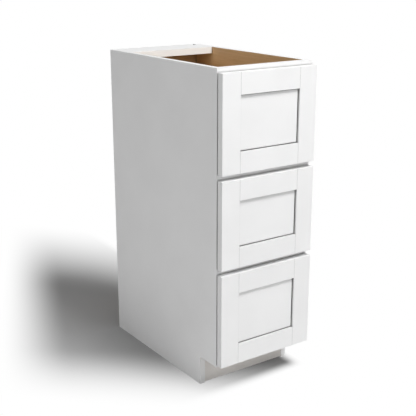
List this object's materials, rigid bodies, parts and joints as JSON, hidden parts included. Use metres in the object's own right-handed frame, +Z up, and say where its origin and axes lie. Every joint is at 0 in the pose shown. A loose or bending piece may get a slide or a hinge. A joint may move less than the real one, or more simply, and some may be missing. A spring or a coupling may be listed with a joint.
{
  "type": "vanity drawer base cabinet",
  "caption": "Narrow white vanity base cabinet with shaker drawers on full-extension undermount slides, a face frame, an open top and a recessed toe kick.",
  "frame": {"origin": "on the floor under the middle of the whole cabinet, drawer fronts included", "axes": "+X to the right of a person facing the drawers, +Y back to the wall, +Z up"},
  "size_m": [0.3048, 0.5544, 0.8763],
  "materials": {
    "white_paint": "satin white paint on wood",
    "interior_laminate": "brown wood-grain laminate",
    "pale_board": "pale unfinished board",
    "drawer_maple": "clear satin lacquer on maple",
    "zinc_steel": "zinc-plated sheet steel",
    "bracket_plastic": "dark grey moulded plastic",
    "bumper_plastic": "clear soft bumper dots"
  },
  "bodies": {
    "cabinet": {"left_side_panel": "white_paint", "right_side_panel": "white_paint", "bottom_panel": "interior_laminate", "back_panel": "interior_laminate", "rear_top_rail": "pale_board", "upper_hang_rail": "pale_board", "lower_hang_rail": "pale_board", "toe_kick_board": "pale_board", "frame_left_stile": "white_paint", "frame_right_stile": "white_paint", "frame_top_rail": "white_paint", "frame_upper_mid_rail": "white_paint", "frame_lower_mid_rail": "white_paint", "frame_bottom_rail": "white_paint", "bumpers": "bumper_plastic", "slide_cabinet_members": "zinc_steel", "slide_rear_brackets": "bracket_plastic", "slide_screws": "zinc_steel"},
    "lower_drawer": {"lower_drawer_front_left_stile": "white_paint", "lower_drawer_front_right_stile": "white_paint", "lower_drawer_front_top_rail": "white_paint", "lower_drawer_front_bottom_rail": "white_paint", "lower_drawer_front_panel": "white_paint", "lower_drawer_box_left_side": "drawer_maple", "lower_drawer_box_right_side": "drawer_maple", "lower_drawer_box_front": "drawer_maple", "lower_drawer_box_back": "drawer_maple", "lower_drawer_box_bottom": "drawer_maple", "lower_drawer_slide_drawer_members": "zinc_steel", "lower_drawer_locking_clips": "bracket_plastic", "lower_drawer_front_screws": "zinc_steel"},
    "lower_drawer_slide_middle": {"lower_drawer_slide_middle_members": "zinc_steel"},
    "middle_drawer": {"middle_drawer_front_left_stile": "white_paint", "middle_drawer_front_right_stile": "white_paint", "middle_drawer_front_top_rail": "white_paint", "middle_drawer_front_bottom_rail": "white_paint", "middle_drawer_front_panel": "white_paint", "middle_drawer_box_left_side": "drawer_maple", "middle_drawer_box_right_side": "drawer_maple", "middle_drawer_box_front": "drawer_maple", "middle_drawer_box_back": "drawer_maple", "middle_drawer_box_bottom": "drawer_maple", "middle_drawer_slide_drawer_members": "zinc_steel", "middle_drawer_locking_clips": "bracket_plastic", "middle_drawer_front_screws": "zinc_steel"},
    "middle_drawer_slide_middle": {"middle_drawer_slide_middle_members": "zinc_steel"},
    "upper_drawer": {"upper_drawer_front_left_stile": "white_paint", "upper_drawer_front_right_stile": "white_paint", "upper_drawer_front_top_rail": "white_paint", "upper_drawer_front_bottom_rail": "white_paint", "upper_drawer_front_panel": "white_paint", "upper_drawer_box_left_side": "drawer_maple", "upper_drawer_box_right_side": "drawer_maple", "upper_drawer_box_front": "drawer_maple", "upper_drawer_box_back": "drawer_maple", "upper_drawer_box_bottom": "drawer_maple", "upper_drawer_slide_drawer_members": "zinc_steel", "upper_drawer_locking_clips": "bracket_plastic", "upper_drawer_front_screws": "zinc_steel"},
    "upper_drawer_slide_middle": {"upper_drawer_slide_middle_members": "zinc_steel"}
  },
  "joints": [
    {"name": "lower_drawer_pull", "type": "slide", "parent": "cabinet", "child": "lower_drawer", "axis": [0, -1, 0], "range_m": [0, 0.43]},
    {"name": "lower_drawer_slide_middle_run", "type": "slide", "parent": "cabinet", "child": "lower_drawer_slide_middle", "axis": [0, -1, 0], "range_m": [0, 0.215]},
    {"name": "middle_drawer_pull", "type": "slide", "parent": "cabinet", "child": "middle_drawer", "axis": [0, -1, 0], "range_m": [0, 0.43]},
    {"name": "middle_drawer_slide_middle_run", "type": "slide", "parent": "cabinet", "child": "middle_drawer_slide_middle", "axis": [0, -1, 0], "range_m": [0, 0.215]},
    {"name": "upper_drawer_pull", "type": "slide", "parent": "cabinet", "child": "upper_drawer", "axis": [0, -1, 0], "range_m": [0, 0.43]},
    {"name": "upper_drawer_slide_middle_run", "type": "slide", "parent": "cabinet", "child": "upper_drawer_slide_middle", "axis": [0, -1, 0], "range_m": [0, 0.215]}
  ],
  "couplings": [
    {"joint": "lower_drawer_slide_middle_run", "follows": "lower_drawer_pull", "ratio": 0.5},
    {"joint": "middle_drawer_slide_middle_run", "follows": "middle_drawer_pull", "ratio": 0.5},
    {"joint": "upper_drawer_slide_middle_run", "follows": "upper_drawer_pull", "ratio": 0.5}
  ]
}
